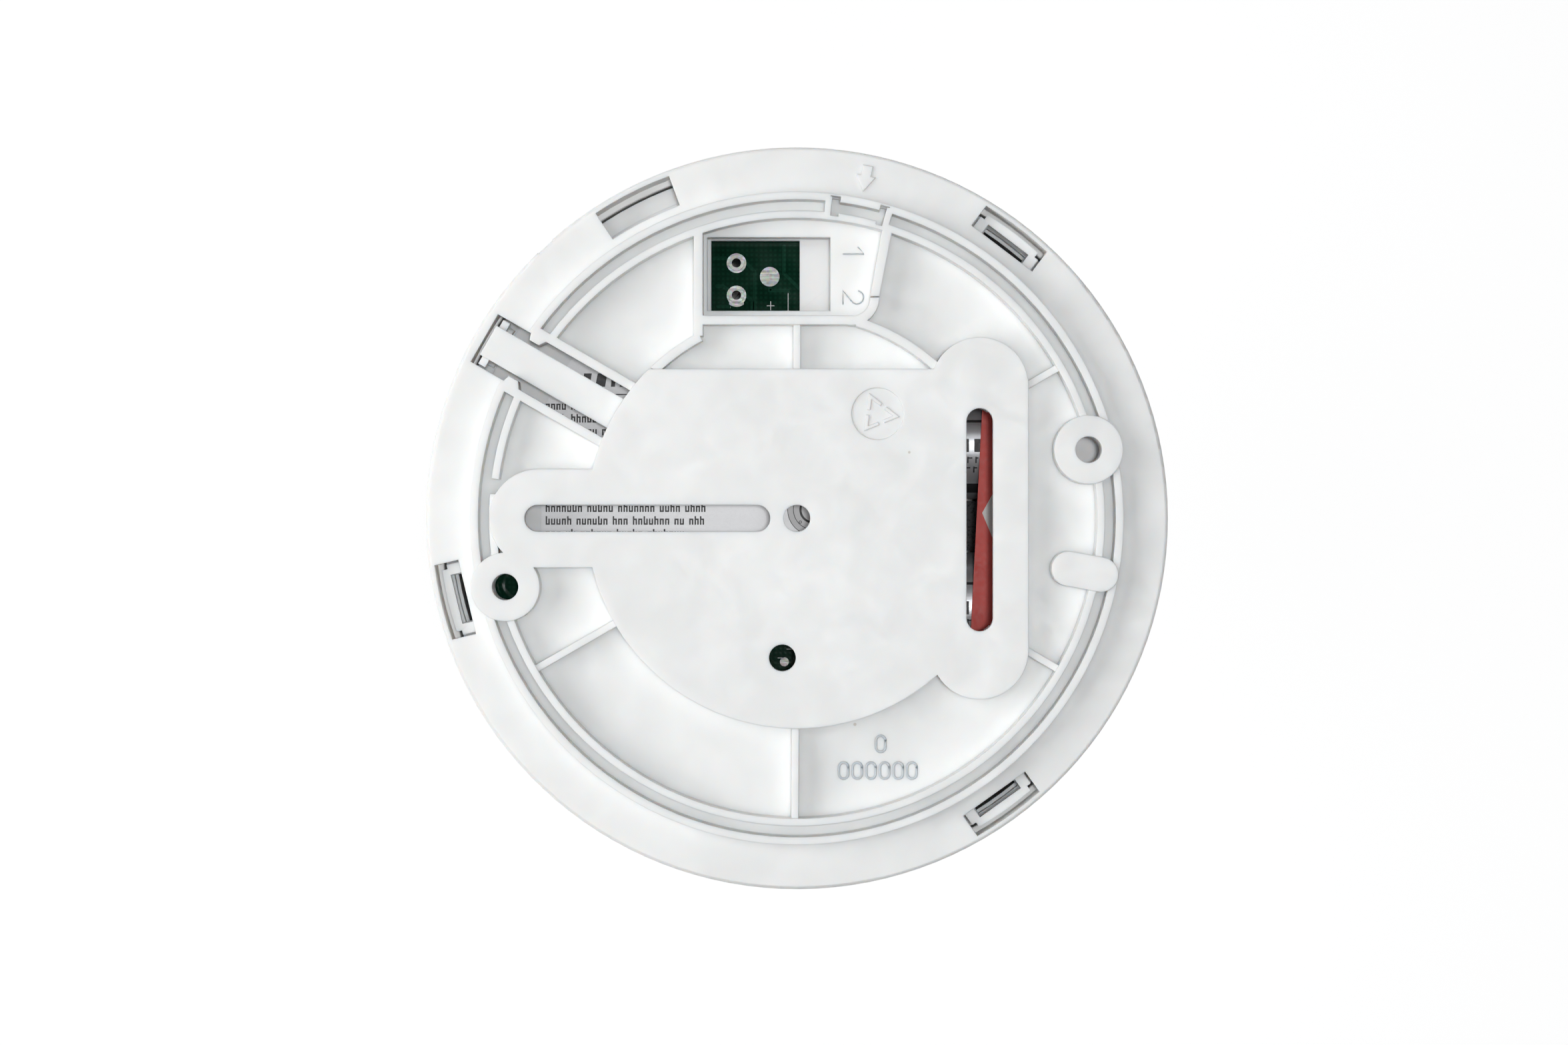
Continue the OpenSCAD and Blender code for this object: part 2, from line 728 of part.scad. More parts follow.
module cover_2d(inset) {
    intersection() {
        union() {
            translate([0, cover_edge_z]) square([cover_r - inset, back_z - cover_edge_z + inset]);
            translate([cover_r - cover_edge_r, cover_edge_z]) circle(cover_edge_r - inset);
            translate([0, -60]) square([cover_r - cover_edge_r, 60 + cover_edge_z]);
        }
        translate([0, cover_low + inset]) square([80, 40]);
    }
}

module front_cover() {
    color(white) rotate_extrude($fn = 180) difference() {
        intersection() {
            cover_2d(0);
            translate([0, -60]) square([80, 60 + back_z]);
        }
        cover_2d(cover_t);
        translate([0, -60]) square([inlet_in_r, 60]);
    }
}

module cap_2d(inset) {
    intersection() {
        union() {
            intersection() {
                translate([0, dome_z]) circle(dome_r - inset, $fn = 720);
                translate([0, -60]) square([dome_touch_x, 60]);
            }
            translate([cap_edge_x, cap_edge_z]) circle(cap_edge_r - inset);
        }
        translate([0, -60]) square([80, 60 + cap_top - inset]);
    }
}

module front_cap() {
    color(white) difference() {
        union() {
            rotate_extrude($fn = 180) difference() {
                cap_2d(0);
                cap_2d(cover_t);
                translate([0, cap_top - 1.6]) square([inlet_in_r, 5]);
            }
            ring(button_r + 0.3, button_r + 1.8, front_z + 1, button_inner_z + 1.9);
            for (i = [0 : vane_count - 1]) at_angle((i + 0.5) * 360 / vane_count)
                box(inlet_in_r + 0.2, -0.8, cap_top - 0.5, 49, 0.8, cover_low);
        }
        translate([0, 0, front_z - 2]) cylinder(r = button_r + 0.3, h = 8);
        translate([led_at[0], led_at[1], front_z - 2]) cylinder(r = 1.6, h = 8);
        for (i = [-2 : 2]) {
            half = sqrt(pow(11, 2) - pow(4 * i, 2));
            slab(front_z - 2, front_z + 6)
                stadium([sounder_at[0] - half, sounder_at[1] + 4 * i],
                    [sounder_at[0] + half, sounder_at[1] + 4 * i], 0.9);
        }
    }
}

// Fine dark mesh behind the inlet, with a flange that lies on the cover's shelf
module inlet_screen() {
    color([0.15, 0.14, 0.13]) {
        ring(43.7, 44.2, cap_top - 1.5, cover_low + cover_t + 0.5);
        ring(43.7, 51.5, cover_low + cover_t + 0.05, cover_low + cover_t + 0.5);
    }
}

module side_label() {
    color([0.15, 0.35, 0.8]) ring_piece(cover_r, cover_r + 0.25, -17, back_z - 0.15, 130, 136);
}

mounting_plate();
latch_arm();
rear_case();
rating_label();
main_pcb();
terminal_eyelets();
test_pads();
cell_positive_up();
cell_positive_down();
cell_link();
cell_output_tabs();
cell_strap();
cell_foam_pad();
chamber_base();
chamber_cap();
chamber_gauze();
infrared_emitter();
light_receiver();
receiver_shield();
sounder_horn();
sounder_plate();
sounder_ceramic();
sounder_springs();
switch_body();
switch_plunger();
test_button();
button_spring();
indicator_led();
light_pipe();
front_cover();
front_cap();
inlet_screen();
pcb_screws();
controller_chip();
reservoir_capacitor();
driver_coil();
small_components();
side_label();
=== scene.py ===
import math
import random

import bmesh
import bpy
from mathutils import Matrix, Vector


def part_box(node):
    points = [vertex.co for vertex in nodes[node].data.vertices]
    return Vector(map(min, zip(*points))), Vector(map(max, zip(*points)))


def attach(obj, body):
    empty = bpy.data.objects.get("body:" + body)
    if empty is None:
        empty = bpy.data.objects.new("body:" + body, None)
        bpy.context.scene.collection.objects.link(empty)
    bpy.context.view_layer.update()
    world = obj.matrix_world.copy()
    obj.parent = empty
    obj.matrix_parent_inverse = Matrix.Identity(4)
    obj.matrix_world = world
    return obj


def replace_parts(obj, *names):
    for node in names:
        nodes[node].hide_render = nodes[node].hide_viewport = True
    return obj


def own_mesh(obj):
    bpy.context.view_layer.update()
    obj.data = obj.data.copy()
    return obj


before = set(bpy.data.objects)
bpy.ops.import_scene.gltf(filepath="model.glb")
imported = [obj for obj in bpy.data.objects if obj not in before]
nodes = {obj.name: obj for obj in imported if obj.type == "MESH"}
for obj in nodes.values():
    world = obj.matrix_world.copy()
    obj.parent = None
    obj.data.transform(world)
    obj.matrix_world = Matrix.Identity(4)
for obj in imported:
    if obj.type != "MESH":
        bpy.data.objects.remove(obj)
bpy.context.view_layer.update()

mm = 0.001
plateLevels = {"floor": -4.7, "rim": -3.6}   # mm above the ceiling plane, as the plate is moulded
print("frame loaded,", len(nodes), "nodes")


def startMaterial(name):
    material = bpy.data.materials.new(name)
    material.use_nodes = True
    tree = material.node_tree
    return material, tree, tree.nodes["Principled BSDF"]


def addNode(tree, kind, settings=None, inputs=None):
    node = tree.nodes.new(kind)
    for key, value in (settings or {}).items():
        setattr(node, key, value)
    for key, value in (inputs or {}).items():
        if isinstance(value, bpy.types.NodeSocket):
            tree.links.new(value, node.inputs[key])
        else:
            node.inputs[key].default_value = value
    return node


def place(tree):
    return addNode(tree, "ShaderNodeTexCoord").outputs["Object"]


def skyward(tree):
    return addNode(tree, "ShaderNodeTexCoord").outputs["Generated"]


def noise(tree, vector, scale, detail=2.0, roughness=0.5, distortion=0.0):
    node = addNode(tree, "ShaderNodeTexNoise", inputs={
        "Vector": vector, "Scale": scale, "Detail": detail,
        "Roughness": roughness, "Distortion": distortion})
    return node.outputs["Fac"]


def cells(tree, vector, scale, feature="F1", output="Distance"):
    node = addNode(tree, "ShaderNodeTexVoronoi", {"feature": feature},
                   {"Vector": vector, "Scale": scale})
    return node.outputs[output]


def waves(tree, vector, scale, direction, distortion):
    node = addNode(tree, "ShaderNodeTexWave", {"bands_direction": direction}, {
        "Vector": vector, "Scale": scale, "Distortion": distortion, "Detail": 1.0})
    return node.outputs["Fac"]


def ramp(tree, factor, stops):
    node = addNode(tree, "ShaderNodeValToRGB", inputs={"Fac": factor})
    band = node.color_ramp
    while len(band.elements) < len(stops):
        band.elements.new(0.5)
    for element, (position, colour) in zip(band.elements, stops):
        element.position = position
        element.color = colour if len(colour) == 4 else (*colour, 1.0)
    return node.outputs["Color"]


def span(tree, value, fromLow, fromHigh, toLow, toHigh):
    node = addNode(tree, "ShaderNodeMapRange", {"clamp": True}, {
        "Value": value, "From Min": fromLow, "From Max": fromHigh,
        "To Min": toLow, "To Max": toHigh})
    return node.outputs["Result"]


def blend(tree, factor, colourA, colourB):
    node = addNode(tree, "ShaderNodeMix", {"data_type": "RGBA"})
    for socket, value in ((node.inputs[0], factor), (node.inputs[6], colourA),
                          (node.inputs[7], colourB)):
        if isinstance(value, bpy.types.NodeSocket):
            tree.links.new(value, socket)
        elif isinstance(value, (int, float)):
            socket.default_value = value
        else:
            socket.default_value = value if len(value) == 4 else (*value, 1.0)
    return node.outputs[2]


def calc(tree, operation, a, b=0.5):
    node = addNode(tree, "ShaderNodeMath", {"operation": operation}, {0: a, 1: b})
    return node.outputs[0]


def bump(tree, shader, height, depth, strength=1.0, normal=None):
    inputs = {"Height": height, "Distance": depth, "Strength": strength}
    if normal is not None:
        inputs["Normal"] = normal
    node = addNode(tree, "ShaderNodeBump", inputs=inputs)
    tree.links.new(node.outputs["Normal"], shader.inputs["Normal"])
    return node.outputs["Normal"]


def feed(tree, shader, **sockets):
    names = {"colour": "Base Color", "rough": "Roughness", "metal": "Metallic",
             "coat": "Coat Weight", "coatRough": "Coat Roughness", "ior": "IOR",
             "clear": "Transmission Weight", "glow": "Subsurface Weight",
             "glowScale": "Subsurface Scale"}
    for key, value in sockets.items():
        socket = shader.inputs[names[key]]
        if isinstance(value, bpy.types.NodeSocket):
            tree.links.new(value, socket)
        elif isinstance(value, (int, float)):
            socket.default_value = value
        else:
            socket.default_value = (*value, 1.0)


# sizes in mm: edge is how far edges look rounded, grain the mould's texture, glowScale how far
# light goes into the resin, speckSpacing the room between its few dark specks
mouldings = {
    "platePlastic": {
        "light": (0.86, 0.865, 0.86), "dark": (0.82, 0.825, 0.82), "rough": 0.42, "edge": 0.14,
        "grain": 0.16, "grainDepth": 0.004, "speckSpacing": 9.0, "speckAmount": 0.035,
        "glow": 1.0, "glowScale": 1.3},
    # the case's white is set lighter than the plate's same white plastic: painted light, which
    # lifts its deep-lying faces out of their shade
    "casePlastic": {
        "light": (0.92, 0.92, 0.915), "dark": (0.88, 0.88, 0.875), "rough": 0.45, "edge": 0.08,
        "grain": 0.2, "grainDepth": 0.005, "speckSpacing": 11.0, "speckAmount": 0.03,
        "glow": 0.8, "glowScale": 0.8},
    "coverPlastic": {
        "light": (0.87, 0.87, 0.86), "dark": (0.83, 0.83, 0.82), "rough": 0.38, "edge": 0.08,
        "grain": 0.3, "grainDepth": 0.010, "speckSpacing": 14.0, "speckAmount": 0.02,
        "glow": 0.15, "glowScale": 0.3},
    "buttonPlastic": {
        "light": (0.84, 0.845, 0.84), "dark": (0.80, 0.805, 0.80), "rough": 0.30, "edge": 0.08,
        "grain": 0.24, "grainDepth": 0.005, "speckSpacing": 12.0, "speckAmount": 0.02,
        "glow": 0.4, "glowScale": 0.5},
}


def whitePlastic(name):
    look = mouldings[name]
    material, tree, shader = startMaterial(name)
    where = place(tree)
    cloud = noise(tree, where, 45.0, 3.0)
    base = blend(tree, span(tree, cloud, 0.35, 0.65, 0.0, 1.0), look["dark"], look["light"])
    speck = cells(tree, where, 1.0 / (look["speckSpacing"] * mm))
    mask = span(tree, speck, look["speckAmount"] * 0.6, look["speckAmount"], 0.55, 0.0)
    colour = blend(tree, mask, base, (0.45, 0.38, 0.30))
    smear = noise(tree, where, 160.0, 4.0, 0.6, 0.6)
    shader.inputs["Subsurface Radius"].default_value = (1.0, 0.82, 0.7)
    feed(tree, shader, colour=colour, glow=look["glow"], glowScale=look["glowScale"] * mm, ior=1.5,
         rough=span(tree, smear, 0.3, 0.7, look["rough"] - 0.05, look["rough"] + 0.06))
    grain = noise(tree, where, 1.0 / (look["grain"] * mm), 2.0, 0.55)
    wide = noise(tree, where, 70.0, 1.0)
    soft = addNode(tree, "ShaderNodeBevel", {"samples": 4}, {"Radius": look["edge"] * mm})
    first = bump(tree, shader, grain, look["grainDepth"] * mm, normal=soft.outputs[0])
    bump(tree, shader, wide, 0.05 * mm, 0.5, first)
    return material


def labelPaper():
    material, tree, shader = startMaterial("labelPaper")
    where = place(tree)
    fibre = noise(tree, where, 2600.0, 4.0, 0.7, 0.8)
    mottle = noise(tree, where, 120.0, 2.0)
    # the paper's near-full white is partly its own colour and partly painted light, which lifts it
    # in the slot's shade
    sheetToneLifted = blend(tree, mottle, (0.93, 0.93, 0.95), (0.97, 0.97, 0.98))
    feed(tree, shader, colour=blend(tree, span(tree, fibre, 0.45, 0.8, 0.0, 0.25), sheetToneLifted,
                                    (0.70, 0.70, 0.72)),
         rough=span(tree, fibre, 0.3, 0.7, 0.42, 0.58), coat=0.15, coatRough=0.3)
    bump(tree, shader, fibre, 0.006 * mm, 0.7)
    return material


def ink(name, colour, worn):
    material, tree, shader = startMaterial(name)
    where = place(tree)
    patchy = noise(tree, where, 3200.0, 3.0, 0.7)
    feed(tree, shader, colour=blend(tree, span(tree, patchy, 0.5, 0.8, 0.0, 0.5), colour, worn),
         rough=span(tree, patchy, 0.3, 0.7, 0.42, 0.6))
    bump(tree, shader, patchy, 0.003 * mm, 0.6)
    return material


def boardMask(name, deep, bright, weaveDepth):
    material, tree, shader = startMaterial(name)
    where = place(tree)
    across = waves(tree, where, 420.0, "X", 0.4)
    along = waves(tree, where, 420.0, "Y", 0.4)
    weave = calc(tree, "MULTIPLY", across, along)
    pools = noise(tree, where, 300.0, 3.0)
    shade = calc(tree, "ADD", calc(tree, "MULTIPLY", weave, 0.35),
                 calc(tree, "MULTIPLY", pools, 0.65))
    feed(tree, shader, colour=ramp(tree, shade, [(0.2, deep), (0.75, bright)]),
         rough=span(tree, pools, 0.3, 0.7, 0.03, 0.06), ior=1.38)
    bump(tree, shader, weave, weaveDepth * mm, 0.6)
    return material


tinning = {"tone": (0.29, 0.29, 0.285), "smudge": (0.10, 0.095, 0.09), "rough": 0.42}


def tinnedMetal():
    material, tree, shader = startMaterial("tinnedMetal")
    where = place(tree)
    grains = cells(tree, where, 2600.0, "F1", "Color")
    patches = noise(tree, where, 900.0, 4.0, 0.62, 1.2)
    streak = noise(tree, addNode(tree, "ShaderNodeMapping", inputs={
        "Vector": where, "Scale": (300.0, 2600.0, 1400.0)}).outputs[0], 1.0, 2.0)
    tint = blend(tree, 0.12, tinning["tone"], grains)
    feed(tree, shader, metal=0.3,
         colour=blend(tree, span(tree, patches, 0.62, 0.74, 0.0, 0.85), tint, tinning["smudge"]),
         rough=span(tree, streak, 0.3, 0.7, tinning["rough"] - 0.08, tinning["rough"] + 0.12))
    bump(tree, shader, streak, 0.006 * mm, 0.6)
    return material


def springSteel():
    material, tree, shader = startMaterial("springSteel")
    where = place(tree)
    drawn = noise(tree, where, 5200.0, 2.0, 0.6)
    film = noise(tree, where, 260.0, 3.0)
    feed(tree, shader, metal=1.0,
         colour=blend(tree, film, (0.52, 0.52, 0.53), (0.66, 0.65, 0.64)),
         rough=span(tree, drawn, 0.3, 0.7, 0.2, 0.36))
    bump(tree, shader, drawn, 0.004 * mm, 0.5)
    return material


def cellSleeve():
    material, tree, shader = startMaterial("cellSleeve")
    where = place(tree)
    brushed = noise(tree, addNode(tree, "ShaderNodeMapping", inputs={
        "Vector": where, "Scale": (60.0, 3600.0, 3600.0)}).outputs[0], 1.0, 2.0)
    worn = noise(tree, where, 220.0, 3.0)
    feed(tree, shader, metal=0.7,
         colour=blend(tree, worn, (0.40, 0.41, 0.43), (0.56, 0.57, 0.59)),
         rough=span(tree, brushed, 0.3, 0.7, 0.32, 0.46), coat=0.2, coatRough=0.2)
    bump(tree, shader, brushed, 0.003 * mm, 0.6)
    return material


def film(name, deep, bright, fibreScale):
    material, tree, shader = startMaterial(name)
    where = place(tree)
    fibre = noise(tree, where, fibreScale, 4.0, 0.7, 1.0)
    blotch = noise(tree, where, 210.0, 3.0, 0.6)
    mixed = calc(tree, "ADD", calc(tree, "MULTIPLY", fibre, 0.45),
                 calc(tree, "MULTIPLY", blotch, 0.55))
    feed(tree, shader, colour=ramp(tree, mixed, [(0.3, deep), (0.7, bright)]),
         rough=span(tree, fibre, 0.3, 0.7, 0.45, 0.6), glow=0.04, glowScale=0.0006)
    bump(tree, shader, fibre, 0.01 * mm, 0.6)
    return material


def blackPlastic(name, tone, grainSize, rough):
    material, tree, shader = startMaterial(name)
    where = place(tree)
    grain = noise(tree, where, 1.0 / (grainSize * mm), 3.0, 0.6)
    dust = noise(tree, where, 700.0, 3.0, 0.6)
    pale = tuple(c * 2.1 + 0.01 for c in tone)
    feed(tree, shader, colour=blend(tree, span(tree, dust, 0.45, 0.75, 0.0, 0.6), tone, pale),
         rough=span(tree, dust, 0.3, 0.7, rough - 0.06, rough + 0.1))
    bump(tree, shader, grain, 0.012 * mm, 0.7)
    return material


def blackFoam():
    material, tree, shader = startMaterial("blackFoam")
    where = place(tree)
    pores = cells(tree, where, 2400.0)
    feed(tree, shader, colour=ramp(tree, pores, [(0.05, (0.004, 0.004, 0.004)),
                                                 (0.5, (0.05, 0.05, 0.052))]), rough=0.92)
    bump(tree, shader, pores, 0.15 * mm, 0.9)
    return material


def brassSheet():
    material, tree, shader = startMaterial("brassSheet")
    where = place(tree)
    turned = noise(tree, where, 2400.0, 3.0, 0.6, 0.4)
    tarnish = noise(tree, where, 240.0, 4.0, 0.6)
    feed(tree, shader, metal=1.0,
         colour=ramp(tree, tarnish, [(0.3, (0.62, 0.44, 0.16)), (0.7, (0.80, 0.62, 0.29))]),
         rough=span(tree, turned, 0.3, 0.7, 0.22, 0.36))
    bump(tree, shader, turned, 0.004 * mm, 0.6)
    return material


def ceramicDisc():
    material, tree, shader = startMaterial("ceramicDisc")
    where = place(tree)
    fired = cells(tree, where, 3200.0)
    tone = noise(tree, where, 260.0, 3.0)
    feed(tree, shader, metal=0.25,
         colour=blend(tree, tone, (0.70, 0.69, 0.64), (0.80, 0.79, 0.75)),
         rough=span(tree, fired, 0.1, 0.6, 0.38, 0.5))
    bump(tree, shader, fired, 0.008 * mm, 0.6)
    return material


# woven wire: two sets of threads, with the gaps between them painted near-black: partly the black
# chamber behind, partly painted shade seen through the weave
def wovenWire(name, pitch, wire, gapShade):
    material, tree, shader = startMaterial(name)
    where = place(tree)
    parts = addNode(tree, "ShaderNodeSeparateXYZ", inputs={0: where})
    around = calc(tree, "ARCTAN2", parts.outputs[1], parts.outputs[0])
    turns = calc(tree, "MULTIPLY", around, 44.0 / pitch)
    rows = calc(tree, "MULTIPLY", parts.outputs[2], 2.0 * math.pi / (pitch * mm))
    threadA = calc(tree, "ABSOLUTE", calc(tree, "SINE", calc(tree, "MULTIPLY", turns, math.pi)))
    threadB = calc(tree, "ABSOLUTE", calc(tree, "SINE", rows))
    height = calc(tree, "MAXIMUM", threadA, threadB)
    grime = noise(tree, where, 500.0, 3.0)
    worn = blend(tree, grime, wire, tuple(c * 0.7 for c in wire))
    feed(tree, shader, colour=blend(tree, span(tree, height, 0.72, 0.88, 0.0, 1.0), gapShade, worn),
         rough=span(tree, grime, 0.3, 0.7, 0.4, 0.55), metal=0.35)
    bump(tree, shader, height, 0.05 * mm, 0.8)
    return material


def clearResin(name, tone, rough, haze):
    material, tree, shader = startMaterial(name)
    where = place(tree)
    streaks = noise(tree, where, 600.0, 3.0, 0.6, 0.5)
    feed(tree, shader, colour=blend(tree, streaks, tone, tuple(c * haze for c in tone)),
         clear=0.85, ior=1.49, rough=span(tree, streaks, 0.3, 0.7, rough, rough + 0.08))
    bump(tree, shader, streaks, 0.01 * mm, 0.4)
    return material


def woundCopper():
    material, tree, shader = startMaterial("woundCopper")
    where = place(tree)
    turns = waves(tree, where, 520.0, "Z", 0.3)
    tone = noise(tree, where, 420.0, 3.0)
    feed(tree, shader, metal=0.9,
         colour=ramp(tree, calc(tree, "MULTIPLY", turns, tone),
                     [(0.1, (0.20, 0.07, 0.02)), (0.6, (0.62, 0.28, 0.12))]),
         rough=span(tree, turns, 0.0, 1.0, 0.42, 0.26), coat=0.4, coatRough=0.15)
    bump(tree, shader, turns, 0.06 * mm, 0.8)
    return material


finish = {name: whitePlastic(name) for name in mouldings}
finish.update({
    "labelPaper": labelPaper(),
    "blackInk": ink("blackInk", (0.012, 0.012, 0.013), (0.06, 0.06, 0.06)),
    "whiteInk": ink("whiteInk", (0.72, 0.70, 0.68), (0.55, 0.50, 0.47)),
    "greyInk": ink("greyInk", (0.60, 0.595, 0.60), (0.66, 0.66, 0.67)),
    "boardGreen": boardMask("boardGreen", (0.0012, 0.020, 0.010), (0.003, 0.040, 0.021), 0.003),
    "traceGreen": boardMask("traceGreen", (0.004, 0.036, 0.020), (0.009, 0.060, 0.034), 0.002),
    "tinnedMetal": tinnedMetal(),
    "springSteel": springSteel(),
    "cellSleeve": cellSleeve(),
    "redFilm": film("redFilm", (0.52, 0.030, 0.020), (0.72, 0.060, 0.040), 1500.0),
    "blueFilm": film("blueFilm", (0.01, 0.07, 0.42), (0.03, 0.14, 0.62), 1500.0),
    "blackPlastic": blackPlastic("blackPlastic", (0.018, 0.018, 0.019), 0.25, 0.42),
    "blackFoam": blackFoam(),
    "brassSheet": brassSheet(),
    "ceramicDisc": ceramicDisc(),
    "chamberGauze": wovenWire("chamberGauze", 0.8, (0.16, 0.16, 0.16), (0.012, 0.012, 0.012)),
    "inletGauze": wovenWire("inletGauze", 0.7, (0.10, 0.10, 0.10), (0.006, 0.006, 0.006)),
    "lampResin": clearResin("lampResin", (0.45, 0.52, 0.85), 0.06, 0.85),
    "darkResin": clearResin("darkResin", (0.03, 0.025, 0.05), 0.10, 0.7),
    "clearAcrylic": clearResin("clearAcrylic", (0.95, 0.96, 0.97), 0.08, 0.95),
    "capacitorSleeve": blackPlastic("capacitorSleeve", (0.012, 0.016, 0.05), 0.4, 0.28),
    "switchRed": film("switchRed", (0.35, 0.03, 0.02), (0.48, 0.06, 0.04), 900.0),
    "woundCopper": woundCopper(),
    "amberLens": clearResin("amberLens", (0.85, 0.78, 0.55), 0.15, 0.9),
})
print("finishes made,", len(finish))

nodeFinish = {
    "platePlastic": ["mounting_plate", "latch_arm"],
    "casePlastic": ["rear_case", "sounder_horn"],
    "coverPlastic": ["front_cover", "front_cap"],
    "buttonPlastic": ["test_button"],
    "labelPaper": ["rating_label"],
    "boardGreen": ["main_pcb"],
    "tinnedMetal": ["terminal_eyelets", "test_pads", "cell_link", "cell_output_tabs",
                    "receiver_shield", "pcb_screws"],
    "springSteel": ["sounder_springs", "button_spring"],
    "cellSleeve": ["cell_positive_up", "cell_positive_down"],
    "redFilm": ["cell_strap"],
    "blueFilm": ["side_label"],
    "blackPlastic": ["chamber_base", "chamber_cap", "switch_body", "controller_chip",
                     "small_components"],
    "blackFoam": ["cell_foam_pad"],
    "chamberGauze": ["chamber_gauze"],
    "inletGauze": ["inlet_screen"],
    "brassSheet": ["sounder_plate"],
    "ceramicDisc": ["sounder_ceramic"],
    "lampResin": ["infrared_emitter"],
    "darkResin": ["light_receiver"],
    "clearAcrylic": ["light_pipe"],
    "capacitorSleeve": ["reservoir_capacitor"],
    "woundCopper": ["driver_coil"],
    "switchRed": ["switch_plunger"],
    "amberLens": ["indicator_led"],
}
for finishName, members in nodeFinish.items():
    for member in members:
        mesh = nodes[member].data
        mesh.materials.clear()
        mesh.materials.append(finish[finishName])
print("finishes given to the nodes")


def finishMesh(name, body, mesh, look, smooth=40.0):
    bmesh.ops.recalc_face_normals(mesh, faces=mesh.faces)
    data = bpy.data.meshes.new(name)
    mesh.to_mesh(data)
    mesh.free()
    data.materials.append(finish[look])
    data.polygons.foreach_set("use_smooth", [True] * len(data.polygons))
    data.set_sharp_from_angle(angle=math.radians(smooth))
    piece = bpy.data.objects.new(name, data)
    bpy.context.scene.collection.objects.link(piece)
    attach(piece, body)
    return piece


# a closed prism with the outline given in millimetres, from low to high
def addPrism(mesh, outline, low, high):
    lower = [mesh.verts.new((x * mm, y * mm, low * mm)) for x, y in outline]
    upper = [mesh.verts.new((x * mm, y * mm, high * mm)) for x, y in outline]
    count = len(outline)
    mesh.faces.new(lower[::-1])
    mesh.faces.new(upper)
    for i in range(count):
        j = (i + 1) % count
        mesh.faces.new((lower[i], lower[j], upper[j], upper[i]))


def addBar(mesh, start, end, width, low, high):
    (x0, y0), (x1, y1) = start, end
    length = math.hypot(x1 - x0, y1 - y0)
    nx, ny = -(y1 - y0) / length * width / 2, (x1 - x0) / length * width / 2
    addPrism(mesh, [(x0 - nx, y0 - ny), (x1 - nx, y1 - ny), (x1 + nx, y1 + ny), (x0 + nx, y0 + ny)],
             low, high)


def addArc(mesh, centre, radius, width, startAngle, endAngle, low, high, steps=48):
    outer, inner = [], []
    for i in range(steps + 1):
        a = math.radians(startAngle + (endAngle - startAngle) * i / steps)
        for side, r in ((outer, radius + width / 2), (inner, radius - width / 2)):
            side.append((centre[0] + r * math.cos(a), centre[1] + r * math.sin(a)))
    for i in range(steps):
        addPrism(mesh, [inner[i], outer[i], outer[i + 1], inner[i + 1]], low, high)
    bmesh.ops.remove_doubles(mesh, verts=mesh.verts, dist=1e-7)
    inside = [f for f in mesh.faces if len(f.verts) == 4 and all(len(e.link_faces) > 2
                                                                 for e in f.edges)]
    bmesh.ops.delete(mesh, geom=inside, context="FACES_ONLY")


# a round wire along the points, with domed ends
def addWire(mesh, points, radius, sides=8):
    points = [Vector(p) * mm for p in points]
    radius *= mm
    rings = []
    across = None
    for i, point in enumerate(points):
        ahead = points[min(i + 1, len(points) - 1)] - points[max(i - 1, 0)]
        ahead.normalize()
        if across is None:
            across = ahead.orthogonal().normalized()
        across = (across - ahead * across.dot(ahead)).normalized()
        other = ahead.cross(across)
        ends = [(0, 1.0)]
        if i == 0:
            ends = [(-0.8, 0.55), (0, 1.0)]
        if i == len(points) - 1:
            ends = [(0, 1.0), (0.8, 0.55)]
        for along, size in ends:
            ring = []
            for k in range(sides):
                a = 2 * math.pi * k / sides
                ring.append(mesh.verts.new(point + ahead * along * radius
                                           + (across * math.cos(a) + other * math.sin(a))
                                           * radius * size))
            rings.append(ring)
    for ringA, ringB in zip(rings, rings[1:]):
        for k in range(sides):
            m = (k + 1) % sides
            mesh.faces.new((ringA[k], ringA[m], ringB[m], ringB[k]))
    mesh.faces.new(rings[0][::-1])
    mesh.faces.new(rings[-1])


def arcPoints(centre, radius, startAngle, endAngle, steps):
    angles = [math.radians(startAngle + (endAngle - startAngle) * i / steps)
              for i in range(steps + 1)]
    return [(centre[0] + radius * math.cos(a), centre[1] + radius * math.sin(a)) for a in angles]


edgeSoftness = {   # each edge's radius in mm; the plate's edges are softened in its finish
    "latch_arm": 0.14, "rear_case": 0.12, "front_cover": 0.20,
    "front_cap": 0.16, "test_button": 0.20, "sounder_horn": 0.12, "controller_chip": 0.05,
    "switch_body": 0.10,
}


def softenEdges(node, radius):
    piece = nodes[node]
    weld = piece.modifiers.new("joinFaces", "WELD")
    weld.merge_threshold = 0.002 * mm
    edge = piece.modifiers.new("softEdge", "BEVEL")
    edge.width = radius * mm
    edge.segments = 2
    edge.limit_method = "ANGLE"
    edge.angle_limit = math.radians(32.0)   # smaller steps belong to round walls
    edge.harden_normals = True
    edge.use_clamp_overlap = True
    edge.miter_outer = "MITER_ARC"
    shade = piece.modifiers.new("flatShading", "WEIGHTED_NORMAL")
    shade.mode = "FACE_AREA"
    shade.weight = 100
    shade.keep_sharp = True
    for face in piece.data.polygons:
        face.use_smooth = True


for node, radius in edgeSoftness.items():
    softenEdges(node, radius)
print("edges softened")


